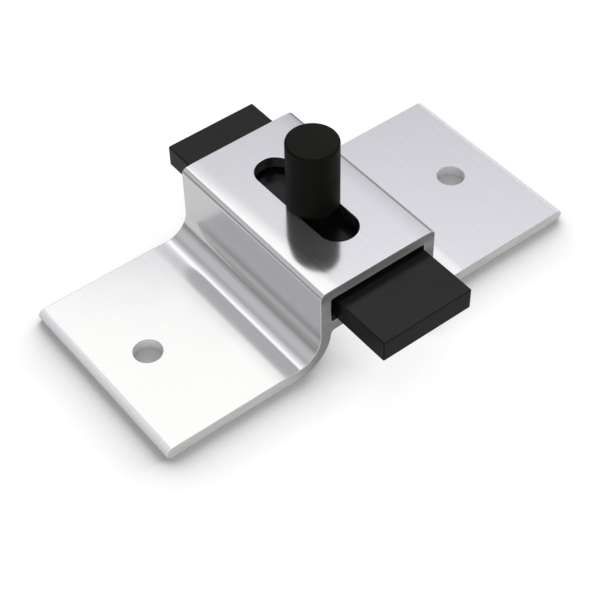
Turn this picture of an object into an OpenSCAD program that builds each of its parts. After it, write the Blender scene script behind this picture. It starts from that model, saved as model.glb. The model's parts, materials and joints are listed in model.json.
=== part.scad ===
// Surface-mounted slide latch: an extruded hat-section housing and a flat bolt moved by a knob.
// X runs along the housing from flange to flange, Y is the way the bolt slides and Z is up.
// The origin is midway between the two screw holes, on the face that lies against the door.

/* [Housing] */
// Length over both flange tips
latch_len = 114.3; // [100:0.1:130]
// Length of extrusion that the housing is cut to
cut_len = 50.4; // [44:0.1:60]
// Thickness of the flanges, the legs and the crown
wall = 3; // [2.5:0.1:3.5]
// Width of the raised middle over both legs
hat_w = 32; // [29:0.1:36]
// Height of the crown above the door
hat_h = 22.5; // [21:0.1:26]
// Radius of the outer corner between a leg and the crown
crown_r = 1.5; // [0.5:0.1:2.2]
// Radius of the hollow corner between a leg and its flange
foot_r = 6.2; // [4.5:0.1:7.5]

/* [Bolt channel] */
// Clear height of the channel between the lips and the crown
channel_h = 7; // [6:0.1:8]
// How far each lip reaches in from its leg
lip_reach = 4.5; // [3:0.1:7]
// Thickness of a lip
lip_t = 3; // [2:0.1:3.2]
// Radius of the hollow corner under a lip
lip_root_r = 1; // [0.5:0.1:1.5]

/* [Screw holes] */
// Distance between the two screw holes
hole_spacing = 88.9; // [84:0.1:94]
// Diameter of a screw hole
hole_d = 6.6; // [5:0.1:8]

/* [Slot] */
// Length of the slot over its round ends
slot_len = 31.8; // [28:0.1:36]
// Width of the slot
slot_w = 9.5; // [9:0.1:11]

/* [Bolt] */
// Length of the bolt
bolt_len = 78; // [70:0.5:90]
// Side play of the bolt in its channel, both sides together
side_play = 1.5; // [0.6:0.1:2]
// Up and down play of the bolt in its channel
rise_play = 1.25; // [0.6:0.05:1.6]
// Gap that is left where the bolt lies against a leg and on the lips
rest_gap = 0.1; // [0.05:0.05:0.2]
// Radius that eases the bolt's long edges
bolt_edge_r = 0.4; // [0.2:0.1:0.8]
// Where the middle of the bolt stands along the channel
bolt_at = -1.75; // [-8:0.25:8]

/* [Knob] */
// Diameter of the grip
knob_d = 12.1; // [11.5:0.1:16]
// Height of the grip
knob_h = 17.6; // [14:0.1:24]
// Radius that eases the grip's top rim
knob_rim_r = 0.6; // [0.2:0.1:1.5]
// Gap between the grip and the crown
knob_lift = 0.3; // [0.2:0.05:0.6]
// Gap between the neck and a side of the slot when the bolt is pushed that way
neck_gap = 0.3; // [0.2:0.05:0.5]

/* [Knob screw] */
// Diameter of the screw's shank
screw_d = 4; // [3:0.5:4]
// Length of shank that goes into the knob
screw_grip = 12; // [8:0.5:14]
// Diameter of the countersunk head
screw_head_d = 7.6; // [6.5:0.1:8]
// Height of the straight rim on the countersunk head
screw_rim_h = 0.4; // [0.3:0.1:0.6]
// Width across the flats of the screw's hexagon socket
socket_af = 2.5; // [2:0.1:2.8]
// Depth of the hexagon socket
socket_depth = 1.6; // [1:0.1:2]
// Gap around the shank in the bolt and in the knob
screw_gap = 0.1; // [0.05:0.05:0.2]
// How far the head lies below the bolt's underside
head_sink = 0.1; // [0.05:0.05:0.3]

/* [Hidden] */
$fn = 96;
// Overshoot of a cut beyond the face that it opens
over = 1;

// Channel, from the housing's own sizes
channel_w = hat_w - 2 * wall;
channel_top = hat_h - wall;
lip_top = channel_top - channel_h;

// Bolt, from the channel and its plays: it lies on the lips and against the +X leg
bolt_w = channel_w - side_play;
bolt_t = channel_h - rise_play;
bolt_x = side_play / 2 - rest_gap;
bolt_z = lip_top + rest_gap;
bolt_top = bolt_z + bolt_t;

// Knob, from the bolt that it stands on and the slot that it runs in
neck_d = slot_w - side_play - 2 * neck_gap;
grip_z = hat_h + knob_lift;
grip_top = grip_z + knob_h;

// Knob screw, from the bolt's underside up
head_z = bolt_z + head_sink;
head_cone_h = (screw_head_d - screw_d) / 2;
screw_top = bolt_top + screw_grip;
tap_depth = screw_grip + over;

// Quarter of a square of side r, on the side of its far corner, that a fillet of radius r leaves
module fillet_corner(r) {
    difference() {
        square(r);
        translate([r, r]) circle(r);
    }
}

// Rectangle with its four corners rounded, centred on X and standing on the X axis
module eased_rectangle(w, h, r) {
    translate([-w / 2, r]) square([w, h - 2 * r]);
    translate([-w / 2 + r, 0]) square([w - 2 * r, h]);
    for (x = [-w / 2 + r, w / 2 - r], y = [r, h - r]) {
        translate([x, y]) circle(r);
    }
}

// Leg's hollow foot: a quarter ring between the leg and its flange, of the same wall
module foot_section() {
    translate([hat_w / 2 + foot_r, wall + foot_r]) {
        difference() {
            circle(foot_r + wall);
            circle(foot_r);
            translate([0, -hat_w]) square(2 * hat_w);
            translate([-hat_w, 0]) square(2 * hat_w);
        }
    }
}

// Lip under the bolt, with the hollow corner at its root, carried on into the leg
module lip_section() {
    leg_in = channel_w / 2;
    lip_root = wall / 2;
    translate([leg_in, lip_top - lip_t]) {
        translate([-lip_reach, 0]) square([lip_reach + lip_root, lip_t]);
        translate([0, -lip_root_r]) square([lip_root, lip_root_r]);
        rotate(180) fillet_corner(lip_root_r);
    }
}

// Half of the extrusion's section, on the +X side
module half_section() {
    leg_in = channel_w / 2;
    leg_out = hat_w / 2;
    leg_foot = wall + foot_r;
    tip_r = wall / 2;
    tip_x = latch_len / 2 - tip_r;

    // Crown
    translate([0, channel_top]) square([leg_out - crown_r, wall]);
    // Outer corner of the crown
    translate([leg_out - crown_r, hat_h - crown_r]) circle(crown_r);
    // Leg
    translate([leg_in, leg_foot]) square([wall, hat_h - crown_r - leg_foot]);
    foot_section();
    // Flange with its bull-nosed tip
    translate([leg_out + foot_r, 0]) square([tip_x - leg_out - foot_r, wall]);
    translate([tip_x, tip_r]) circle(tip_r);
    lip_section();
}

module housing() {
    slot_end_y = (slot_len - slot_w) / 2;
    color("gainsboro")
    difference() {
        rotate([90, 0, 0]) {
            linear_extrude(height = cut_len, center = true) {
                half_section();
                mirror([1, 0]) half_section();
            }
        }
        // Screw holes
        for (side = [-1, 1]) {
            translate([side * hole_spacing / 2, 0, -over]) cylinder(d = hole_d, h = wall + 2 * over);
        }
        // Slot for the knob's neck
        translate([0, 0, channel_top - over]) {
            for (side = [-1, 1]) {
                translate([0, side * slot_end_y, 0]) cylinder(d = slot_w, h = wall + 2 * over);
            }
            translate([-slot_w / 2, -slot_end_y, 0]) cube([slot_w, 2 * slot_end_y, wall + 2 * over]);
        }
    }
}

// Screw's outline as a solid of revolution, grown all round by a gap
module screw_body(gap, top) {
    translate([0, 0, head_z]) {
        cylinder(d = screw_head_d + 2 * gap, h = screw_rim_h);
        translate([0, 0, screw_rim_h]) {
            cylinder(d1 = screw_head_d + 2 * gap, d2 = screw_d + 2 * gap, h = head_cone_h);
        }
        cylinder(d = screw_d + 2 * gap, h = top - head_z);
    }
}

module slide_bolt() {
    color([0.16, 0.16, 0.16])
    difference() {
        translate([bolt_x, bolt_at, bolt_z]) {
            rotate([90, 0, 0]) {
                linear_extrude(height = bolt_len, center = true) {
                    eased_rectangle(bolt_w, bolt_t, bolt_edge_r);
                }
            }
        }
        translate([bolt_x, bolt_at, 0]) {
            screw_body(screw_gap, bolt_top + over);
            // Mouth of the countersink, down to the bolt's underside
            translate([0, 0, bolt_z - over]) cylinder(d = screw_head_d + 2 * screw_gap, h = over + head_sink);
        }
    }
}

module knob() {
    color([0.1, 0.1, 0.1])
    translate([bolt_x, bolt_at, 0]) {
        difference() {
            rotate_extrude() {
                // Neck
                translate([0, bolt_top]) square([neck_d / 2, grip_z - bolt_top + over]);
                // Grip with its eased rim
                translate([0, grip_z]) square([knob_d / 2, knob_h - knob_rim_r]);
                translate([0, grip_z]) square([knob_d / 2 - knob_rim_r, knob_h]);
                translate([knob_d / 2 - knob_rim_r, grip_top - knob_rim_r]) circle(knob_rim_r);
            }
            translate([0, 0, bolt_top - over]) {
                cylinder(d = screw_d + 2 * screw_gap, h = tap_depth + over);
            }
        }
    }
}

module knob_screw() {
    color("dimgray")
    translate([bolt_x, bolt_at, 0]) {
        difference() {
            screw_body(0, screw_top);
            translate([0, 0, head_z - over]) {
                cylinder(d = socket_af / cos(30), h = socket_depth + over, $fn = 6);
            }
        }
    }
}

housing();
slide_bolt();
knob();
knob_screw();
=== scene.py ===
"""Looks of a surface-mounted slide latch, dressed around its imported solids.

The latch is an aluminium housing of hat section, cut from one extrusion, a flat black bolt that slides
through it, and a round black knob that a countersunk screw holds to the bolt. Every place is in metres,
in the frame of the solids: X runs from flange to flange, Y along the bolt's slide, and Z is up. Angles
are in degrees, and an azimuth runs from +Y towards +X.
"""

import json
import logging
import math
from dataclasses import dataclass, replace
from enum import Enum
from typing import Any, Callable, Iterable

import bmesh
import bpy
from mathutils import Matrix, Vector


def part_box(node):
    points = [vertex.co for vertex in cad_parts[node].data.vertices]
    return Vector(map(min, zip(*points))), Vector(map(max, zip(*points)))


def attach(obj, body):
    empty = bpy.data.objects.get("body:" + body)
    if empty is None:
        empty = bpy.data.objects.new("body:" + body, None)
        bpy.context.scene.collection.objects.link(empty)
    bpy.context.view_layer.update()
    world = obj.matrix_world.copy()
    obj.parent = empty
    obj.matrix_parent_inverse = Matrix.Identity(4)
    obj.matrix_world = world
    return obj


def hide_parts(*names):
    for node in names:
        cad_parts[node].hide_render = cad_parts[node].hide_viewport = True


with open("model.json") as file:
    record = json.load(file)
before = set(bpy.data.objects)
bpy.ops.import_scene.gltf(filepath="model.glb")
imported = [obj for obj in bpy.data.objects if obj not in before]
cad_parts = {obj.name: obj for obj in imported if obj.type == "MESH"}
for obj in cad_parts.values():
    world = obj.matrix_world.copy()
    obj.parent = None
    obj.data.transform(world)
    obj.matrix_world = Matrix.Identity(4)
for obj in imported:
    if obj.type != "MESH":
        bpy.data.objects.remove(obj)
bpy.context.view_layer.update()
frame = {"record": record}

MM = 0.001
MICRON = 0.000001

Point = tuple[float, float]
Colour = tuple[float, float, float, float]
BLACK: Colour = (0.0, 0.0, 0.0, 1.0)
WHITE: Colour = (1.0, 1.0, 1.0, 1.0)

# Values of a texture at which its mask starts and is full.
NOISE_SPAN = (0.3, 0.7)
SMUDGE_SPAN = (0.35, 0.68)
PEBBLE_SPAN = (0.75, 0.1)

WELD_GAP = 0.001 * MM
FLAT_FACE_WEIGHT = 100

log = logging.getLogger("slide_latch")


class Body(Enum):
    """Bodies of the solids that a piece can ride on."""

    HOUSING = "housing"
    BOLT = "bolt"


class Slot(Enum):
    """Material slots of the record."""

    HOUSING = "housing"
    BOLT = "bolt"
    KNOB = "knob"
    SCREW = "screw"


class Side(Enum):
    """Sides of the housing's middle plane."""

    LEFT = -1
    RIGHT = 1


class Surface(Enum):
    """Surfaces of the housing, in the order of its materials."""

    BRIGHT = 0
    SAWN = 1
    SATIN = 2
    MILLED = 3


class NodeDesk:
    """Places and joins the nodes of one shader tree."""

    def __init__(self, tree: bpy.types.NodeTree) -> None:
        """Takes a tree and clears its old nodes."""
        self.tree = tree
        tree.nodes.clear()

    def add(self, kind: str, inputs: dict[str | int, Any] | None = None, **settings: Any) -> bpy.types.Node:
        """Adds one node, sets it up and feeds its inputs.

        Args:
            kind: Type name of the node.
            inputs: Value or output socket for each named input.
            settings: Properties of the node itself.

        Returns:
            The new node.
        """
        node = self.tree.nodes.new(kind)
        for name, value in settings.items():
            setattr(node, name, value)
        for name, value in (inputs or {}).items():
            self.feed(node.inputs[name], value)
        return node

    def feed(self, socket: bpy.types.NodeSocket, value: Any) -> None:
        """Links an output socket to an input, or sets the input's own value.

        Args:
            socket: Input that is fed.
            value: Output socket or plain value.
        """
        if isinstance(value, bpy.types.NodeSocket):
            self.tree.links.new(value, socket)
        else:
            socket.default_value = value

    def spread(self, value: Any, low: float, high: float) -> bpy.types.NodeSocket:
        """Spreads a mask from 0 to 1 over the range from low to high."""
        inputs = {"Value": value, "To Min": low, "To Max": high}
        return self.add("ShaderNodeMapRange", inputs).outputs["Result"]

    def ramp(self, value: Any, start: float, end: float) -> bpy.types.NodeSocket:
        """Turns a value into a smooth mask, 0 at start and 1 at end."""
        inputs = {"Value": value, "From Min": start, "From Max": end}
        return self.add("ShaderNodeMapRange", inputs, interpolation_type="SMOOTHSTEP").outputs["Result"]

    def math(self, operation: str, *values: Any) -> bpy.types.NodeSocket:
        """Works out one sum of plain values or output sockets."""
        return self.add("ShaderNodeMath", dict(enumerate(values)), operation=operation).outputs["Value"]

    def vector(self, operation: str, first: Any, second: Any) -> bpy.types.Node:
        """Adds a vector sum of two vectors and returns its node."""
        return self.add("ShaderNodeVectorMath", {0: first, 1: second}, operation=operation)

    def parts(self, vector: Any) -> Any:
        """Splits a vector and returns its X, Y and Z outputs."""
        return self.add("ShaderNodeSeparateXYZ", {"Vector": vector}).outputs

    def mix(self, mask: Any, first: Any, second: Any) -> bpy.types.NodeSocket:
        """Mixes two colours.

        Args:
            mask: Share of the second colour.
            first: Colour where the mask is 0.
            second: Colour where the mask is 1.

        Returns:
            Output socket of the mixed colour.
        """
        node = self.add("ShaderNodeMix", data_type="RGBA")
        self.feed(node.inputs["Factor"], mask)
        for socket, value in zip((s for s in node.inputs if s.type == "RGBA"), (first, second)):
            self.feed(socket, value)
        return next(s for s in node.outputs if s.type == "RGBA")

    def effect(self, group: bpy.types.NodeTree, inputs: dict[str, Any]) -> bpy.types.Node:
        """Places a shared effect with its own values and returns its node."""
        return self.add("ShaderNodeGroup", inputs, node_tree=group)


class Effects:
    """Shader node groups that several finishes share, each built once."""

    def __init__(self) -> None:
        """Builds every group."""
        self.lines = self.build_lines()
        self.smudges = self.build_smudges()
        self.grain = self.build_grain()

    @staticmethod
    def start(name: str, inputs: dict[str, str], outputs: Iterable[str]) -> tuple[NodeDesk, Any, Any]:
        """Starts an empty group with named sockets.

        Args:
            name: Name of the group.
            inputs: Socket type of each named input.
            outputs: Names of the outputs, which are all plain values.

        Returns:
            The desk of the group's nodes, the group's input sockets and its output node.
        """
        tree = bpy.data.node_groups.new(name, "ShaderNodeTree")
        for label, kind in inputs.items():
            tree.interface.new_socket(label, in_out="INPUT", socket_type=kind)
        for label in outputs:
            tree.interface.new_socket(label, in_out="OUTPUT", socket_type="NodeSocketFloat")
        desk = NodeDesk(tree)
        given = desk.add("NodeGroupInput").outputs
        return desk, given, desk.add("NodeGroupOutput")

    def build_lines(self) -> bpy.types.NodeTree:
        """Builds the fine lines that a die, a saw or a tool leaves.

        Returns:
            Group that turns a place and the spacing along each axis into lines and broad bands.
        """
        sockets = {
            "Place": "NodeSocketVector",
            "Per metre": "NodeSocketVector",
            "Band share": "NodeSocketFloat",
        }
        desk, given, result = self.start("tool_lines", sockets, ("Lines", "Bands"))
        fine = desk.vector("MULTIPLY", given["Place"], given["Per metre"]).outputs["Vector"]
        broad = desk.add("ShaderNodeVectorMath", {0: fine, "Scale": given["Band share"]}, operation="SCALE")
        lines = {"Vector": fine, "Scale": 1.0, "Detail": 3.0, "Roughness": 0.65}
        bands = {"Vector": broad.outputs["Vector"], "Scale": 1.0, "Detail": 1.0}
        for name, inputs in (("Lines", lines), ("Bands", bands)):
            noise = desk.add("ShaderNodeTexNoise", inputs).outputs["Fac"]
            desk.feed(result.inputs[name], desk.ramp(noise, *NOISE_SPAN))
        return desk.tree

    def build_smudges(self) -> bpy.types.NodeTree:
        """Builds the faint cloudy change of gloss on a handled surface.

        Returns:
            Group that turns a place and a size into smudges.
        """
        sockets = {"Place": "NodeSocketVector", "Per metre": "NodeSocketFloat"}
        desk, given, result = self.start("smudges", sockets, ("Smudges",))
        inputs = {
            "Vector": given["Place"],
            "Scale": given["Per metre"],
            "Detail": 4.0,
            "Roughness": 0.55,
            "Distortion": 0.6,
        }
        cloud = desk.add("ShaderNodeTexNoise", inputs).outputs["Fac"]
        desk.feed(result.inputs["Smudges"], desk.ramp(cloud, *SMUDGE_SPAN))
        return desk.tree

    def build_grain(self) -> bpy.types.NodeTree:
        """Builds the fine pebbled grain of a moulded or coated black surface.

        Returns:
            Group that turns a place and a size into pebbles and a fine tooth.
        """
        sockets = {"Place": "NodeSocketVector", "Per metre": "NodeSocketFloat"}
        desk, given, result = self.start("moulded_grain", sockets, ("Pebbles", "Tooth"))
        size = {"Vector": given["Place"], "Scale": given["Per metre"]}
        cells = desk.add("ShaderNodeTexVoronoi", size, feature="SMOOTH_F1").outputs["Distance"]
        tooth = desk.add("ShaderNodeTexNoise", size | {"Detail": 4.0, "Roughness": 0.7}).outputs["Fac"]
        desk.feed(result.inputs["Pebbles"], desk.ramp(cells, *PEBBLE_SPAN))
        desk.feed(result.inputs["Tooth"], desk.ramp(tooth, *NOISE_SPAN))
        return desk.tree


def start_material(name: str) -> tuple[bpy.types.Material, NodeDesk, bpy.types.Node]:
    """Starts a material with a Principled shader on its output.

    Args:
        name: Name of the material.

    Returns:
        The material, the desk of its nodes and its shader node.
    """
    material = bpy.data.materials.new(name)
    material.use_nodes = True
    desk = NodeDesk(material.node_tree)
    shader = desk.add("ShaderNodeBsdfPrincipled")
    desk.add("ShaderNodeOutputMaterial", {"Surface": shader.outputs["BSDF"]})
    return material, desk, shader


@dataclass(frozen=True)
class LinedMetal:
    """Bare metal with the fine lines of the tool that made its surface.

    Steep faces and a strip beside each foot, which a buff hardly reaches, can be rougher than the rest. The
    metal's colour can also carry painted shade, darker from the flanges to the middle of the housing and
    again near its top. Each span says where such a change starts and where it is full: by the size of the
    normal's Z for steep faces, and otherwise by the distance from the middle plane or by height.
    """

    name: str
    colour: Colour
    dull_share: float
    roughness: tuple[float, float]
    smudge_roughness: float
    line_spacing: tuple[float, float, float]
    band_share: float
    line_depth: float
    band_depth: float
    smudge_size: float = 11.0 * MM
    metallic: float = 1.0
    unbuffed_roughness: float = 0.0
    steep_span: tuple[float, float] = (0.9, 0.2)
    strip_outer: tuple[float, float] = (29.5 * MM, 25.5 * MM)
    strip_inner: tuple[float, float] = (21.4 * MM, 22.7 * MM)
    # painted shade: how much of the colour is kept towards the middle and near the top, and where that
    # darkening starts and is full
    inner_shade_share: float = 1.0
    inner_shade_span: tuple[float, float] = (25.5 * MM, 15.5 * MM)
    top_shade_share: float = 1.0
    top_shade_span: tuple[float, float] = (18.5 * MM, 21.0 * MM)

    def painted_shade(self, desk: NodeDesk, place: Any, colour: Any) -> bpy.types.NodeSocket:
        """Paints shade into the metal's colour, darker towards the middle and the top of the housing.

        Args:
            desk: Desk of the material's nodes.
            place: Place on the surface.
            colour: Colour to paint the shade into.

        Returns:
            Output socket of the colour with its painted shade.
        """
        parts = desk.parts(place)
        inner = desk.ramp(desk.math("ABSOLUTE", parts["X"]), *self.inner_shade_span)
        top = desk.ramp(parts["Z"], *self.top_shade_span)
        inner_unshaded = desk.spread(inner, 1.0, self.inner_shade_share)
        top_unshaded = desk.spread(top, 1.0, self.top_shade_share)
        return desk.mix(desk.math("MULTIPLY", inner_unshaded, top_unshaded), BLACK, colour)

    def unbuffed(self, desk: NodeDesk, place: Any) -> bpy.types.NodeSocket:
        """Masks the steep faces and the strip beside each foot.

        Args:
            desk: Desk of the material's nodes.
            place: Place on the surface.

        Returns:
            Output socket of the mask.
        """
        normal = desk.add("ShaderNodeNewGeometry").outputs["Normal"]
        steep = desk.ramp(desk.math("ABSOLUTE", desk.parts(normal)["Z"]), *self.steep_span)
        aside = desk.math("ABSOLUTE", desk.parts(place)["X"])
        outer, inner = (desk.ramp(aside, *span) for span in (self.strip_outer, self.strip_inner))
        return desk.math("MAXIMUM", steep, desk.math("MULTIPLY", outer, inner))

    def material(self, effects: Effects) -> bpy.types.Material:
        """Makes the metal's material.

        Args:
            effects: Shared node groups.

        Returns:
            The material.
        """
        material, desk, shader = start_material(self.name)
        place = desk.add("ShaderNodeTexCoord").outputs["Object"]
        per_metre = tuple(1.0 / spacing for spacing in self.line_spacing)
        inputs = {"Place": place, "Per metre": per_metre, "Band share": self.band_share}
        lines = desk.effect(effects.lines, inputs).outputs
        smudges = desk.effect(effects.smudges, {"Place": place, "Per metre": 1.0 / self.smudge_size})
        red, green, blue, alpha = self.colour
        dull = (red * self.dull_share, green * self.dull_share, blue * self.dull_share, alpha)
        colour = desk.mix(lines["Lines"], dull, self.colour)
        # painted shade, darker towards the middle and the top of the housing
        if self.inner_shade_share < 1.0:
            colour = self.painted_shade(desk, place, colour)
        desk.feed(shader.inputs["Base Color"], colour)
        lined = desk.spread(lines["Lines"], *self.roughness)
        clouded = desk.spread(smudges.outputs["Smudges"], 0.0, self.smudge_roughness)
        rough = desk.math("ADD", lined, clouded)
        if self.unbuffed_roughness:
            unbuffed = desk.spread(self.unbuffed(desk, place), 0.0, self.unbuffed_roughness)
            rough = desk.math("ADD", rough, unbuffed)
        desk.feed(shader.inputs["Roughness"], rough)
        fine = desk.math("MULTIPLY", lines["Lines"], self.line_depth)
        broad = desk.math("MULTIPLY", lines["Bands"], self.band_depth)
        relief = desk.add("ShaderNodeBump", {"Distance": 1.0, "Height": desk.math("ADD", fine, broad)})
        desk.feed(shader.inputs["Normal"], relief.outputs["Normal"])
        shader.inputs["Metallic"].default_value = self.metallic
        return material


@dataclass(frozen=True)
class GrainedBlack:
    """Black plastic with a fine grain and a little change in its gloss."""

    name: str
    colour: Colour
    worn_colour: Colour
    roughness: tuple[float, float]
    shine: float
    grain_size: float
    grain_depth: float
    tooth_share: float = 0.5
    smudge_size: float = 9.0 * MM

    def material(self, effects: Effects) -> bpy.types.Material:
        """Makes the plastic's material.

        Args:
            effects: Shared node groups.

        Returns:
            The material.
        """
        material, desk, shader = start_material(self.name)
        place = desk.add("ShaderNodeTexCoord").outputs["Object"]
        grain = desk.effect(effects.grain, {"Place": place, "Per metre": 1.0 / self.grain_size})
        smudges = desk.effect(effects.smudges, {"Place": place, "Per metre": 1.0 / self.smudge_size})
        tone = desk.mix(grain.outputs["Tooth"], self.colour, self.worn_colour)
        desk.feed(shader.inputs["Base Color"], tone)
        desk.feed(shader.inputs["Roughness"], desk.spread(smudges.outputs["Smudges"], *self.roughness))
        pebbles = desk.math("MULTIPLY", grain.outputs["Pebbles"], self.grain_depth)
        tooth = desk.math("MULTIPLY", grain.outputs["Tooth"], self.tooth_share * self.grain_depth)
        relief = desk.add("ShaderNodeBump", {"Distance": 1.0, "Height": desk.math("ADD", pebbles, tooth)})
        desk.feed(shader.inputs["Normal"], relief.outputs["Normal"])
        shader.inputs["Specular IOR Level"].default_value = self.shine
        return material


BRIGHT_ALUMINIUM = LinedMetal(
    name="bright_aluminium",
    colour=(0.82, 0.82, 0.83, 1.0),
    dull_share=0.97,
    roughness=(0.1, 0.13),
    smudge_roughness=0.02,
    line_spacing=(0.35 * MM, 40.0 * MM, 0.35 * MM),
    band_share=0.12,
    line_depth=0.08 * MICRON,
    band_depth=0.5 * MICRON,
    metallic=0.94,
    unbuffed_roughness=0.1,
)
SAWN_ALUMINIUM = LinedMetal(
    name="sawn_aluminium",
    colour=(0.84, 0.835, 0.82, 1.0),
    dull_share=0.8,
    roughness=(0.48, 0.56),
    smudge_roughness=0.05,
    line_spacing=(6.0 * MM, 0.5 * MM, 0.22 * MM),
    band_share=0.25,
    line_depth=3.0 * MICRON,
    band_depth=3.0 * MICRON,
    metallic=0.25,
    # painted shade: the sawn ends darken up the legs, across the crown and near the top, where shade falls on
    # them
    inner_shade_share=0.42,
    top_shade_share=0.65,
)
SATIN_ALUMINIUM = LinedMetal(
    name="satin_aluminium",
    colour=(0.84, 0.835, 0.86, 1.0),
    dull_share=0.93,
    roughness=(0.52, 0.6),
    smudge_roughness=0.05,
    line_spacing=(0.2 * MM, 25.0 * MM, 0.2 * MM),
    band_share=0.2,
    line_depth=0.5 * MICRON,
    band_depth=1.0 * MICRON,
    metallic=0.3,
)
MILLED_ALUMINIUM = LinedMetal(
    name="milled_aluminium",
    colour=(0.7, 0.7, 0.71, 1.0),
    dull_share=0.9,
    roughness=(0.24, 0.3),
    smudge_roughness=0.04,
    line_spacing=(3.0 * MM, 3.0 * MM, 0.25 * MM),
    band_share=0.3,
    line_depth=0.5 * MICRON,
    band_depth=0.8 * MICRON,
)
HOUSING_FINISHES = {
    Surface.BRIGHT: BRIGHT_ALUMINIUM,
    Surface.SAWN: SAWN_ALUMINIUM,
    Surface.SATIN: SATIN_ALUMINIUM,
    Surface.MILLED: MILLED_ALUMINIUM,
}
PLATED_STEEL = LinedMetal(
    name="plated_steel",
    colour=(0.56, 0.56, 0.57, 1.0),
    dull_share=0.85,
    roughness=(0.26, 0.36),
    smudge_roughness=0.08,
    line_spacing=(0.2 * MM, 0.2 * MM, 0.08 * MM),
    band_share=0.3,
    line_depth=0.6 * MICRON,
    band_depth=1.0 * MICRON,
    smudge_size=3.0 * MM,
)
SATIN_BLACK = GrainedBlack(
    name="satin_black",
    colour=(0.003, 0.003, 0.003, 1.0),
    worn_colour=(0.006, 0.006, 0.006, 1.0),
    roughness=(0.2, 0.27),
    shine=0.28,
    grain_size=0.28 * MM,
    grain_depth=2.0 * MICRON,
)
CUT_BLACK = replace(SATIN_BLACK, name="cut_black", roughness=(0.28, 0.35), shine=0.1)
GRIP_BLACK = GrainedBlack(
    name="grip_black",
    colour=(0.003, 0.003, 0.0022, 1.0),
    worn_colour=(0.006, 0.006, 0.0048, 1.0),
    roughness=(0.5, 0.6),
    shine=0.08,
    grain_size=0.22 * MM,
    grain_depth=3.0 * MICRON,
)
FACED_BLACK = replace(GRIP_BLACK, name="faced_black", shine=0.16)


def arc(centre: Point, radius: float, start: float, end: float, steps: int) -> list[Point]:
    """Draws an arc between two angles as evenly spaced points, both ends included."""
    angles = (math.radians(start + (end - start) * i / steps) for i in range(steps + 1))
    return [(centre[0] + radius * math.cos(a), centre[1] + radius * math.sin(a)) for a in angles]


def add_piece(name: str, build: Callable[[bmesh.types.BMesh], None]) -> bpy.types.Object:
    """Makes a closed mesh piece from faces that a function draws.

    Args:
        name: Name of the piece.
        build: Function that draws the faces.

    Returns:
        The piece, in the scene.
    """
    mesh = bpy.data.meshes.new(name)
    shape = bmesh.new()
    build(shape)
    bmesh.ops.remove_doubles(shape, verts=shape.verts, dist=WELD_GAP)
    bmesh.ops.recalc_face_normals(shape, faces=shape.faces)
    for face in shape.faces:
        face.smooth = True
    shape.to_mesh(mesh)
    shape.free()
    piece = bpy.data.objects.new(name, mesh)
    bpy.context.scene.collection.objects.link(piece)
    return piece


def draw_prism(shape: bmesh.types.BMesh, low: list[Vector], high: list[Vector]) -> None:
    """Draws a closed prism between two outlines of as many points.

    Args:
        shape: Mesh that takes the faces.
        low: Points of one end.
        high: Points of the other end.
    """
    first = [shape.verts.new(p) for p in low]
    last = [shape.verts.new(p) for p in high]
    count = len(first)
    for i in range(count):
        j = (i + 1) % count
        shape.faces.new((first[i], first[j], last[j], last[i]))
    shape.faces.new(first)
    shape.faces.new(last)


def draw_bar(shape: bmesh.types.BMesh, outline: list[Point], start: float, end: float) -> None:
    """Draws a closed bar from a section in the XZ plane, carried along Y."""
    draw_prism(shape, [Vector((x, start, z)) for x, z in outline], [Vector((x, end, z)) for x, z in outline])


def draw_post(shape: bmesh.types.BMesh, outline: list[Point], bottom: float, top: float) -> None:
    """Draws a closed post from an outline in the XY plane, carried along Z."""
    draw_prism(shape, [Vector((x, y, bottom)) for x, y in outline], [Vector((x, y, top)) for x, y in outline])


def draw_turned(shape: bmesh.types.BMesh, rings: list[list[Vector]]) -> None:
    """Draws a closed turned surface through rings of as many points, with a flat cap at each end.

    Args:
        shape: Mesh that takes the faces.
        rings: Rings from one end to the other.
    """
    drawn = [[shape.verts.new(p) for p in ring] for ring in rings]
    count = len(drawn[0])
    for lower, upper in zip(drawn, drawn[1:]):
        for i in range(count):
            j = (i + 1) % count
            shape.faces.new((lower[i], lower[j], upper[j], upper[i]))
    shape.faces.new(drawn[0])
    shape.faces.new(drawn[-1])


def ring(centre: Point, radius: float, height: float, steps: int) -> list[Vector]:
    """Draws a level ring of points round a centre in X and Y."""
    return [Vector((x, y, height)) for x, y in arc(centre, radius, 0.0, 360.0, steps)[:-1]]


def settle(piece: bpy.types.Object) -> None:
    """Turns a piece's modifiers into its own mesh.

    Args:
        piece: Piece that has modifiers.
    """
    graph = bpy.context.evaluated_depsgraph_get()
    mesh = bpy.data.meshes.new_from_object(piece.evaluated_get(graph), depsgraph=graph)
    mesh.name = piece.name
    piece.modifiers.clear()
    piece.data = mesh


def cut_away(piece: bpy.types.Object, build: Callable[[bmesh.types.BMesh], None]) -> None:
    """Cuts shapes out of a piece.

    Args:
        piece: Piece that is cut.
        build: Function that draws the shapes.
    """
    cutter = add_piece(piece.name + "_cut", build)
    cut = piece.modifiers.new("cut", "BOOLEAN")
    cut.operation = "DIFFERENCE"
    cut.solver = "EXACT"
    cut.object = cutter
    settle(piece)
    bpy.data.objects.remove(cutter)


def ease_edges(piece: bpy.types.Object, width: float, steps: int = 3, least_angle: float = 40.0) -> None:
    """Rounds a piece's sharp edges a little.

    Args:
        piece: Piece to ease.
        width: Width of the rounding.
        steps: Number of facets across it.
        least_angle: Edges that turn less than this stay as they are.
    """
    ease = piece.modifiers.new("ease", "BEVEL")
    ease.width = width
    ease.segments = steps
    ease.limit_method = "ANGLE"
    ease.angle_limit = math.radians(least_angle)
    ease.use_clamp_overlap = False
    settle(piece)


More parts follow.
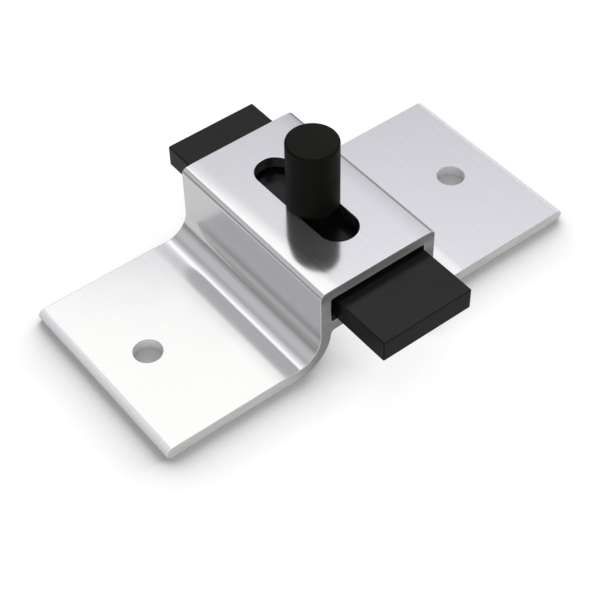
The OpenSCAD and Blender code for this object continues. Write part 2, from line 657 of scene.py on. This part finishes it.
def true_normals(piece: bpy.types.Object) -> None:
    """Gives flat faces flat normals, so that they mirror as flat metal does.

    Args:
        piece: Finished piece.
    """
    weighted = piece.modifiers.new("weighted", "WEIGHTED_NORMAL")
    weighted.mode = "FACE_AREA"
    weighted.weight = FLAT_FACE_WEIGHT
    settle(piece)


def hand_over(piece: bpy.types.Object, body: Body, node: str) -> None:
    """Lets a finished piece stand for its solid.

    Args:
        piece: Finished piece.
        body: Body that it rides on.
        node: Solid that it stands for.
    """
    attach(piece, body.value)
    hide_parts(node)
    log.info("%s: %d faces, rides on %s", piece.name, len(piece.data.polygons), body.value)


@dataclass
class Housing:
    """Extruded housing of hat section, with the bolt's channel, the slot and the screw holes."""

    low: Vector
    high: Vector
    hole_spacing: float
    hole_radius: float
    hat_width: float = 32.0 * MM
    wall: float = 3.0 * MM
    crown_radius: float = 1.5 * MM
    buff_reach: float = 4.1 * MM
    buff_drop: float = 0.12 * MM
    foot_radius: float = 6.2 * MM
    foot_dip: float = 0.17 * MM
    dip_reach: float = 3.9 * MM
    channel_height: float = 7.0 * MM
    lip_reach: float = 4.5 * MM
    lip_thickness: float = 3.0 * MM
    lip_root_radius: float = 1.0 * MM
    corner_radius: float = 0.3 * MM
    slot_length: float = 31.8 * MM
    slot_width: float = 9.5 * MM
    edge_ease: float = 0.18 * MM
    overshoot: float = 1.0 * MM
    buff_steps: int = 12
    dip_steps: int = 16
    round_steps: int = 20
    foot_steps: int = 48
    foot_under_end: float = 185.0
    tip_steps: int = 32
    root_steps: int = 8
    corner_steps: int = 5
    slot_steps: int = 48
    hole_steps: int = 64
    end_facing: float = 0.99
    wall_facing: float = 0.1

    @property
    def channel_top(self) -> float:
        """Height of the crown's underside."""
        return self.high.z - self.wall

    def crown_edge(self) -> list[Point]:
        """Draws the edge of the crown, which buffing has rolled off a little, and its round corner.

        Returns:
            Points from the crown's flat top to the leg's outside.
        """
        turn = math.radians(90.0) - math.atan(2 * self.buff_drop / self.buff_reach)
        r = self.crown_radius
        corner = (self.hat_width / 2 - r, self.high.z - self.buff_drop - r * math.sin(turn))
        end = corner[0] + r * math.cos(turn)
        shares = [i / self.buff_steps for i in range(self.buff_steps)]
        rolled = [(end - self.buff_reach * (1.0 - s), self.high.z - self.buff_drop * s * s) for s in shares]
        return rolled + arc(corner, r, math.degrees(turn), 0, self.round_steps)

    def dip_run(self, start: float) -> list[Point]:
        """Draws how the flange's face rises from the shallow dip along the foot.

        Args:
            start: X of the foot's lowest line.

        Returns:
            Points from the dip out to the level face.
        """
        shares = [i / self.dip_steps for i in range(1, self.dip_steps + 1)]
        rises = [self.foot_dip * s * s * (3.0 - 2.0 * s) for s in shares]
        low = self.wall - self.foot_dip
        return [(start + self.dip_reach * s, low + rise) for s, rise in zip(shares, rises)]

    def half_section(self) -> list[Point]:
        """Draws the right half of the section, from the crown round the flange to the channel.

        Returns:
            Points of the half section.
        """
        leg_out = self.hat_width / 2
        leg_in = leg_out - self.wall
        tip_radius = self.wall / 2
        tip = (self.high.x - tip_radius, tip_radius)
        foot = (leg_out + self.foot_radius, self.wall + self.foot_radius)
        lip_top = self.channel_top - self.channel_height
        lip_low = lip_top - self.lip_thickness
        root = (leg_in - self.lip_root_radius, lip_low - self.lip_root_radius)
        lip_tip = leg_in - self.lip_reach
        r, steps = self.corner_radius, self.corner_steps
        return [
            *self.crown_edge(),
            *arc((foot[0], foot[1] - self.foot_dip), self.foot_radius, 180, 270, self.foot_steps),
            *self.dip_run(foot[0]),
            *arc(tip, tip_radius, 90, -90, self.tip_steps),
            *arc(foot, self.foot_radius + self.wall, 270, self.foot_under_end, self.foot_steps),
            *arc(root, self.lip_root_radius, 0, 90, self.root_steps),
            *arc((lip_tip + r, lip_low + r), r, 270, 180, steps),
            *arc((lip_tip + r, lip_top - r), r, 180, 90, steps),
            *arc((leg_in - r, lip_top + r), r, 270, 360, steps),
            *arc((leg_in - r, self.channel_top - r), r, 0, 90, steps),
        ]

    def slot_outline(self) -> list[Point]:
        """Draws the slot's outline in plan.

        Returns:
            Points of the outline.
        """
        radius = self.slot_width / 2
        end = self.slot_length / 2 - radius
        far = arc((0.0, end), radius, 0, 180, self.slot_steps)
        near = arc((0.0, -end), radius, 180, 360, self.slot_steps)
        return far + near

    def draw_cuts(self, shape: bmesh.types.BMesh) -> None:
        """Draws the slot and the two screw holes as shapes to cut away.

        Args:
            shape: Mesh that takes the faces.
        """
        draw_post(shape, self.slot_outline(), self.channel_top - self.overshoot, self.high.z + self.overshoot)
        for side in Side:
            centre = (side.value * self.hole_spacing / 2, 0.0)
            outline = arc(centre, self.hole_radius, 0, 360, self.hole_steps)[:-1]
            draw_post(shape, outline, -self.overshoot, self.wall + self.overshoot)

    def build(self) -> bpy.types.Object:
        """Builds the housing's mesh.

        Returns:
            The housing, not yet dressed.
        """
        half = self.half_section()
        outline = half + [(-x, z) for x, z in reversed(half)]
        piece = add_piece("latch_housing", lambda shape: draw_bar(shape, outline, self.low.y, self.high.y))
        cut_away(piece, self.draw_cuts)
        ease_edges(piece, self.edge_ease)
        true_normals(piece)
        return piece

    def surface_of(self, face: bpy.types.MeshPolygon) -> Surface:
        """Tells which surface a face of the housing belongs to.

        Args:
            face: Face of the housing.

        Returns:
            Its surface: a sawn end, a satin tip or hole, the milled slot, or the bright rest.
        """
        at_end = abs(abs(face.center.y) - self.high.y) < self.edge_ease / 2
        if at_end and abs(face.normal.y) > self.end_facing:
            return Surface.SAWN
        if abs(face.center.x) > self.high.x - self.wall / 2:
            return Surface.SATIN
        x, y = abs(face.center.x), abs(face.center.y)
        in_slot = max(x / self.slot_width, y / self.slot_length) < 0.5 and face.center.z > self.channel_top
        in_hole = math.hypot(x - self.hole_spacing / 2, y) < self.hole_radius + self.edge_ease / 4
        is_wall = abs(face.normal.z) < self.wall_facing
        if in_hole and is_wall:
            return Surface.SATIN
        if in_slot and is_wall:
            return Surface.MILLED
        return Surface.BRIGHT

    def dress(self, piece: bpy.types.Object, effects: Effects) -> None:
        """Gives each surface of the housing its finish.

        Args:
            piece: The housing.
            effects: Shared node groups.
        """
        for surface in Surface:
            piece.data.materials.append(HOUSING_FINISHES[surface].material(effects))
        for face in piece.data.polygons:
            face.material_index = self.surface_of(face).value
        hand_over(piece, Body.HOUSING, "housing")


@dataclass
class KnobScrew:
    """Countersunk screw with a hexagon socket that holds the knob to the bolt from below."""

    low: Vector
    high: Vector
    shank_radius: float = 2.0 * MM
    rim_height: float = 0.4 * MM
    plain_length: float = 5.9 * MM
    pitch: float = 0.7 * MM
    thread_depth: float = 0.38 * MM
    socket_flats: float = 2.5 * MM
    socket_depth: float = 1.6 * MM
    edge_ease: float = 0.08 * MM
    groove_slope: float = 1.6
    chamfer_slope: float = 0.7
    socket_sides: int = 6
    overshoot: float = 1.0 * MM
    sharp_angle: float = 35.0
    rim_steps: int = 4
    steps: int = 48
    steps_per_pitch: int = 8

    @property
    def centre(self) -> Point:
        """X and Y of the screw's axis."""
        middle = (self.low + self.high) / 2
        return (middle.x, middle.y)

    @property
    def head_radius(self) -> float:
        """Radius of the countersunk head."""
        return (self.high.x - self.low.x) / 2

    def thread_radius(self, turn: float, height: float) -> float:
        """Works out the radius of the thread at one point.

        Args:
            turn: Share of a full turn round the axis, from 0 to 1.
            height: Z of the point.

        Returns:
            Radius there.
        """
        start = self.low.z + self.plain_length
        phase = ((height - start) / self.pitch - turn) % 1.0
        groove = min(1.0, self.groove_slope * (1.0 - abs(2.0 * phase - 1.0)))
        runs_in = min(1.0, max(0.0, (height - start) / self.pitch))
        chamfer = max(0.0, self.pitch - (self.high.z - height))
        return self.shank_radius - max(self.thread_depth * groove * runs_in, self.chamfer_slope * chamfer)

    def thread_ring(self, height: float) -> list[Vector]:
        """Draws one level ring of the thread.

        Args:
            height: Z of the ring.

        Returns:
            Points of the ring.
        """
        x, y = self.centre
        points = []
        for i in range(self.steps):
            turn = i / self.steps
            radius = self.thread_radius(turn, height)
            angle = 2 * math.pi * turn
            points.append(Vector((x + radius * math.cos(angle), y + radius * math.sin(angle), height)))
        return points

    def draw_screw(self, shape: bmesh.types.BMesh) -> None:
        """Draws the head, the shank and its thread.

        Args:
            shape: Mesh that takes the faces.
        """
        rim = self.low.z + self.rim_height
        cone = rim + self.head_radius - self.shank_radius
        start = self.low.z + self.plain_length
        ease = self.edge_ease
        profile = [
            *arc((self.head_radius - ease, self.low.z + ease), ease, 270, 360, self.rim_steps),
            (self.head_radius, rim),
            (self.shank_radius, cone),
        ]
        rings = [ring(self.centre, radius, height, self.steps) for radius, height in profile]
        count = round((self.high.z - start) / self.pitch * self.steps_per_pitch)
        rings += [self.thread_ring(start + (self.high.z - start) * i / count) for i in range(count + 1)]
        draw_turned(shape, rings)

    def draw_socket(self, shape: bmesh.types.BMesh) -> None:
        """Draws the hexagon socket as a shape to cut away.

        Args:
            shape: Mesh that takes the faces.
        """
        corner_radius = self.socket_flats / 2 / math.cos(math.pi / self.socket_sides)
        outline = arc(self.centre, corner_radius, 0, 360, self.socket_sides)[:-1]
        draw_post(shape, outline, self.low.z - self.overshoot, self.low.z + self.socket_depth)

    def build(self) -> bpy.types.Object:
        """Builds the screw's mesh.

        Returns:
            The screw, not yet dressed.
        """
        piece = add_piece("knob_screw_dressed", self.draw_screw)
        cut_away(piece, self.draw_socket)
        piece.data.set_sharp_from_angle(angle=math.radians(self.sharp_angle))
        return piece

    def dress(self, piece: bpy.types.Object, effects: Effects) -> None:
        """Gives the screw its plated finish."""
        piece.data.materials.append(PLATED_STEEL.material(effects))
        hand_over(piece, Body.BOLT, "knob_screw")


@dataclass
class SlideBolt:
    """Flat bar that slides in the housing, countersunk from below for the knob's screw."""

    low: Vector
    high: Vector
    screw: KnobScrew
    edge_radius: float = 0.4 * MM
    end_ease: float = 0.35 * MM
    hole_ease: float = 0.12 * MM
    screw_gap: float = 0.1 * MM
    overshoot: float = 1.0 * MM
    edge_steps: int = 6
    steps: int = 64
    broad_facing: float = 0.5

    def section(self) -> list[Point]:
        """Draws the bar's section with its eased corners.

        Returns:
            Points of the section.
        """
        r = self.edge_radius
        left, right = self.low.x + r, self.high.x - r
        bottom, top = self.low.z + r, self.high.z - r
        corners = (((right, top), 0), ((left, top), 90), ((left, bottom), 180), ((right, bottom), 270))
        return [p for centre, start in corners for p in arc(centre, r, start, start + 90, self.edge_steps)]

    def draw_screw_hole(self, shape: bmesh.types.BMesh) -> None:
        """Draws the countersunk screw hole as a shape to cut away.

        Args:
            shape: Mesh that takes the faces.
        """
        head = self.screw.head_radius + self.screw_gap
        shank = self.screw.shank_radius + self.screw_gap
        rim = self.screw.low.z + self.screw.rim_height
        profile = [
            (head, self.low.z - self.overshoot),
            (head, rim),
            (shank, rim + head - shank),
            (shank, self.high.z + self.overshoot),
        ]
        rings = [ring(self.screw.centre, radius, height, self.steps) for radius, height in profile]
        draw_turned(shape, rings)

    def build(self) -> bpy.types.Object:
        """Builds the bolt's mesh.

        Returns:
            The bolt, not yet dressed.
        """
        piece = add_piece("bolt_bar", lambda shape: draw_bar(shape, self.section(), self.low.y, self.high.y))
        ease_edges(piece, self.end_ease)
        cut_away(piece, self.draw_screw_hole)
        ease_edges(piece, self.hole_ease, steps=2)
        true_normals(piece)
        return piece

    def dress(self, piece: bpy.types.Object, effects: Effects) -> None:
        """Gives the bolt its black finish, duller on its narrow sides and ends than on its broad faces.

        Args:
            piece: The bolt.
            effects: Shared node groups.
        """
        for finish in (SATIN_BLACK, CUT_BLACK):
            piece.data.materials.append(finish.material(effects))
        for face in piece.data.polygons:
            face.material_index = int(abs(face.normal.z) < self.broad_facing)
        hand_over(piece, Body.BOLT, "slide_bolt")


@dataclass
class Knob:
    """Round grip with a neck that goes down through the slot to the bolt."""

    low: Vector
    high: Vector
    screw: KnobScrew
    neck_radius: float = 3.7 * MM
    neck_height: float = 4.45 * MM
    rim_radius: float = 0.6 * MM
    foot_ease: float = 0.25 * MM
    screw_gap: float = 0.1 * MM
    bore_spare: float = 1.0 * MM
    foot_steps: int = 5
    rim_steps: int = 8
    steps: int = 128
    sharp_angle: float = 40.0
    top_facing: float = 0.9

    def profile(self) -> list[Point]:
        """Draws the knob's profile from the end of its bore, out and up to the middle of its top.

        Returns:
            Radius and height of each ring.
        """
        grip = (self.high.x - self.low.x) / 2
        bore = self.screw.shank_radius + self.screw_gap
        bore_top = self.screw.high.z + self.bore_spare
        grip_low = self.low.z + self.neck_height
        ease = self.foot_ease
        rim = self.rim_radius
        return [
            (bore, bore_top),
            (bore, self.low.z),
            (self.neck_radius, self.low.z),
            (self.neck_radius, grip_low),
            *arc((grip - ease, grip_low + ease), ease, 270, 360, self.foot_steps),
            *arc((grip - rim, self.high.z - rim), rim, 0, 90, self.rim_steps),
        ]

    def build(self) -> bpy.types.Object:
        """Builds the knob's mesh.

        Returns:
            The knob, not yet dressed.
        """
        rings = [ring(self.screw.centre, radius, height, self.steps) for radius, height in self.profile()]
        piece = add_piece("bolt_knob", lambda shape: draw_turned(shape, rings))
        true_normals(piece)
        piece.data.set_sharp_from_angle(angle=math.radians(self.sharp_angle))
        return piece

    def dress(self, piece: bpy.types.Object, effects: Effects) -> None:
        """Gives the knob its fine-grained black finish, with a little more shine on its faced top.

        Args:
            piece: The knob.
            effects: Shared node groups.
        """
        for finish in (GRIP_BLACK, FACED_BLACK):
            piece.data.materials.append(finish.material(effects))
        for face in piece.data.polygons:
            face.material_index = int(face.normal.z > self.top_facing)
        hand_over(piece, Body.BOLT, "knob")


@dataclass(frozen=True)
class Glow:
    """Round soft patch of the surround, full up to one angle from its middle and gone at another."""

    azimuth: float
    elevation: float
    full: float
    end: float
    colour: Colour

    def axis(self) -> Vector:
        """Works out the direction of the patch's middle.

        Returns:
            Unit vector towards it.
        """
        azimuth, elevation = math.radians(self.azimuth), math.radians(self.elevation)
        level = math.cos(elevation)
        return Vector((math.sin(azimuth) * level, math.cos(azimuth) * level, math.sin(elevation)))

    def over(self, desk: NodeDesk, way: bpy.types.NodeSocket, below: Any) -> bpy.types.NodeSocket:
        """Lays the patch over what the surround shows so far.

        Args:
            desk: Desk of the world's nodes.
            way: Direction that is looked in.
            below: Colour of the surround so far.

        Returns:
            Output socket of the colour with the patch.
        """
        apart = desk.math("ARCCOSINE", desk.vector("DOT_PRODUCT", way, self.axis()).outputs["Value"])
        mask = desk.ramp(apart, math.radians(self.end), math.radians(self.full))
        return desk.mix(mask, below, self.colour)


@dataclass(frozen=True)
class Panel:
    """Bright panel of the surround with a clear, sloping lower edge, which fades at its sides and its top.

    The lower edge is given at the panel's middle.
    """

    azimuth: float
    half_width: float
    low: float
    slope: float
    high: float
    edge: float
    fade: float
    colour: Colour

    def over(self, desk: NodeDesk, way: bpy.types.NodeSocket, below: Any) -> bpy.types.NodeSocket:
        """Lays the panel over what the surround shows so far.

        Args:
            desk: Desk of the world's nodes.
            way: Direction that is looked in.
            below: Colour of the surround so far.

        Returns:
            Output socket of the colour with the panel.
        """
        parts = desk.parts(way)
        height = desk.math("ARCSINE", parts["Z"])
        turn = desk.math("SUBTRACT", desk.math("ARCTAN2", parts["X"], parts["Y"]), math.radians(self.azimuth))
        aside = desk.math("ABSOLUTE", turn)
        level = desk.math("SUBTRACT", height, desk.math("MULTIPLY", turn, self.slope))
        above = desk.ramp(level, math.radians(self.low - self.edge), math.radians(self.low + self.edge))
        under = desk.ramp(height, math.radians(self.high + self.fade), math.radians(self.high))
        within = desk.ramp(aside, math.radians(self.half_width + self.fade), math.radians(self.half_width))
        mask = desk.math("MULTIPLY", desk.math("MULTIPLY", above, under), within)
        return desk.mix(mask, below, self.colour)


@dataclass(frozen=True)
class SoftSky:
    """Soft studio surround: broad glows and one bright panel, on a grey that darkens to the horizon."""

    low_colour: Colour = (0.27, 0.268, 0.246, 1.0)
    grey_colour: Colour = (0.366, 0.364, 0.381, 1.0)
    low_elevation: float = 8.0
    grey_elevation: float = 24.7
    glows: tuple[Glow, ...] = (
        Glow(azimuth=180.0, elevation=20.0, full=70.0, end=112.0, colour=(0.62, 0.62, 0.625, 1.0)),
        Glow(azimuth=43.6, elevation=66.9, full=14.4, end=40.6, colour=(0.988, 0.973, 1.034, 1.0)),
        Glow(azimuth=-45.0, elevation=33.0, full=5.2, end=32.0, colour=(0.565, 0.568, 0.585, 1.0)),
    )
    panel: Panel = Panel(
        azimuth=40.0,
        half_width=26.0,
        low=48.6,
        slope=0.2,
        high=64.0,
        edge=0.3,
        fade=14.0,
        colour=(1.25, 1.26, 1.215, 1.0),
    )

    def hang(self) -> None:
        """Hangs the surround in the scene's world."""
        world = bpy.data.worlds.new("soft_sky")
        world.use_nodes = True
        bpy.context.scene.world = world
        desk = NodeDesk(world.node_tree)
        way = desk.add("ShaderNodeTexCoord").outputs["Generated"]
        height = desk.math("ARCSINE", desk.parts(way)["Z"])
        grey = desk.ramp(height, math.radians(self.low_elevation), math.radians(self.grey_elevation))
        colour = desk.mix(grey, self.low_colour, self.grey_colour)
        for patch in (*self.glows, self.panel):
            colour = patch.over(desk, way, colour)
        sky = desk.add("ShaderNodeBackground", {"Color": colour})
        desk.add("ShaderNodeOutputWorld", {"Surface": sky.outputs["Background"]})


@dataclass(frozen=True)
class PaleFloor:
    """Wide white floor that takes the soft shadow of the object.

    Close to the object a painted shadow deepens it: the floor's glow is darkened by the nearness of the
    object, most on the sides that a lamp behind and to the right leaves dark.
    """

    radius: float = 20.0
    drop: float = 0.02 * MM
    colour: Colour = (0.16, 0.16, 0.16, 1.0)
    lift: float = 0.88
    mirror_share: float = 0.6
    mirror_span: tuple[float, float] = (220.0 * MM, 90.0 * MM)
    reach: float = 13.0 * MM
    lean: tuple[float, float, float] = (0.54, 0.54, 0.64)
    dark: float = 0.54
    clear: float = 0.97
    least_share: float = 0.24
    near_samples: int = 16
    steps: int = 96

    def material(self) -> bpy.types.Material:
        """Makes the floor's material, lifted to white for the camera and to pale grey for what mirrors it.

        Returns:
            The material.
        """
        material, desk, shader = start_material("pale_floor")
        path = desk.add("ShaderNodeLightPath").outputs
        place = desk.add("ShaderNodeTexCoord").outputs["Object"]
        away = desk.add("ShaderNodeVectorMath", {0: place}, operation="LENGTH").outputs["Value"]
        share = desk.math("MULTIPLY", desk.ramp(away, *self.mirror_span), self.mirror_share)
        mirrored = desk.math("MAXIMUM", path["Is Glossy Ray"], path["Is Transmission Ray"])
        seen = desk.math("MAXIMUM", path["Is Camera Ray"], desk.math("MULTIPLY", mirrored, share))
        # painted shadow: the floor's glow is darkened by the occlusion within reach of the object, leaned to
        # the back right, on top of the real shadow in its base colour
        lean = desk.add("ShaderNodeCombineXYZ", dict(zip("XYZ", self.lean))).outputs["Vector"]
        leaned = {"Distance": self.reach, "Normal": lean}
        near = desk.add("ShaderNodeAmbientOcclusion", leaned, samples=self.near_samples)
        inputs = {
            "Value": near.outputs["AO"],
            "From Min": self.dark,
            "From Max": self.clear,
            "To Min": self.lift * self.least_share,
            "To Max": self.lift,
        }
        lift = desk.add("ShaderNodeMapRange", inputs).outputs["Result"]
        shader.inputs["Base Color"].default_value = self.colour
        shader.inputs["Roughness"].default_value = 1.0
        shader.inputs["Specular IOR Level"].default_value = 0.0
        shader.inputs["Emission Color"].default_value = WHITE
        desk.feed(shader.inputs["Emission Strength"], desk.math("MULTIPLY", seen, lift))
        return material

    def lay(self) -> None:
        """Lays the floor just under the housing."""
        floor = add_piece("floor", lambda shape: shape.faces.new(
            [shape.verts.new(p) for p in ring((0.0, 0.0), self.radius, -self.drop, self.steps)]
        ))
        floor.data.materials.append(self.material())


@dataclass(frozen=True)
class SoftLamp:
    """Broad far lamp that gives plain light and soft shadows, and doesn't show in the metal.

    A level of 1 alone would show a level white surface as white.
    """

    name: str
    azimuth: float
    elevation: float
    level: float
    spread: float = 50.0

    def hang(self) -> None:
        """Hangs the lamp."""
        lamp = bpy.data.lights.new(self.name, "SUN")
        lamp.energy = self.level * math.pi / math.sin(math.radians(self.elevation))
        lamp.angle = math.radians(self.spread)
        holder = bpy.data.objects.new(self.name, lamp)
        holder.rotation_euler = (math.radians(90.0 - self.elevation), 0.0, math.radians(180.0 - self.azimuth))
        holder.visible_glossy = False
        bpy.context.scene.collection.objects.link(holder)


LAMPS = (
    SoftLamp("right_lamp", azimuth=60.0, elevation=38.0, level=0.2),
    SoftLamp("left_lamp", azimuth=222.0, elevation=24.0, level=0.18),
)


@dataclass(frozen=True)
class Viewpoint:
    """Camera that looks at the latch from the front left and above."""

    azimuth: float = -37.2133
    elevation: float = 47.8157
    roll: float = -1.2597
    distance: float = 342.309 * MM
    target: tuple[float, float, float] = (-12.9764 * MM, -14.1291 * MM, 10.0 * MM)
    focal_pixels: float = 1560.197
    image_pixels: float = 600.0
    sensor_width: float = 36.0

    def place(self) -> None:
        """Places the camera and makes it the scene's own."""
        azimuth, elevation, roll = (math.radians(a) for a in (self.azimuth, self.elevation, self.roll))
        level = math.cos(elevation)
        back = Vector((math.sin(azimuth) * level, -math.cos(azimuth) * level, math.sin(elevation)))
        right = Vector((0.0, 0.0, 1.0)).cross(back).normalized()
        up = back.cross(right)
        rolled_right = math.cos(roll) * right + math.sin(roll) * up
        rolled_up = math.cos(roll) * up - math.sin(roll) * right
        lens = bpy.data.cameras.new("viewpoint")
        lens.sensor_width = self.sensor_width
        lens.lens = self.focal_pixels / self.image_pixels * self.sensor_width
        camera = bpy.data.objects.new("viewpoint", lens)
        turn = Matrix((rolled_right, rolled_up, back)).transposed().to_4x4()
        camera.matrix_world = Matrix.Translation(Vector(self.target) + self.distance * back) @ turn
        bpy.context.scene.collection.objects.link(camera)
        bpy.context.scene.camera = camera


def main() -> None:
    """Builds the latch piece by piece, then the studio round it."""
    logging.basicConfig(level=logging.INFO, format="%(name)s: %(message)s")
    effects = Effects()
    holes = next(m for m in frame["record"]["mounts"] if m["name"] == "screw_holes")["dims"]
    housing = Housing(
        *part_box("housing"),
        hole_spacing=holes["spacing_x_mm"] * MM,
        hole_radius=holes["hole_r_mm"] * MM,
    )
    screw = KnobScrew(*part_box("knob_screw"))
    bolt = SlideBolt(*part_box("slide_bolt"), screw=screw)
    knob = Knob(*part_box("knob"), screw=screw)
    for part in (housing, screw, bolt, knob):
        part.dress(part.build(), effects)
    SoftSky().hang()
    for lamp in LAMPS:
        lamp.hang()
    PaleFloor().lay()
    Viewpoint().place()
    bpy.context.scene.view_settings.view_transform = "Standard"


if __name__ == "__main__":
    main()
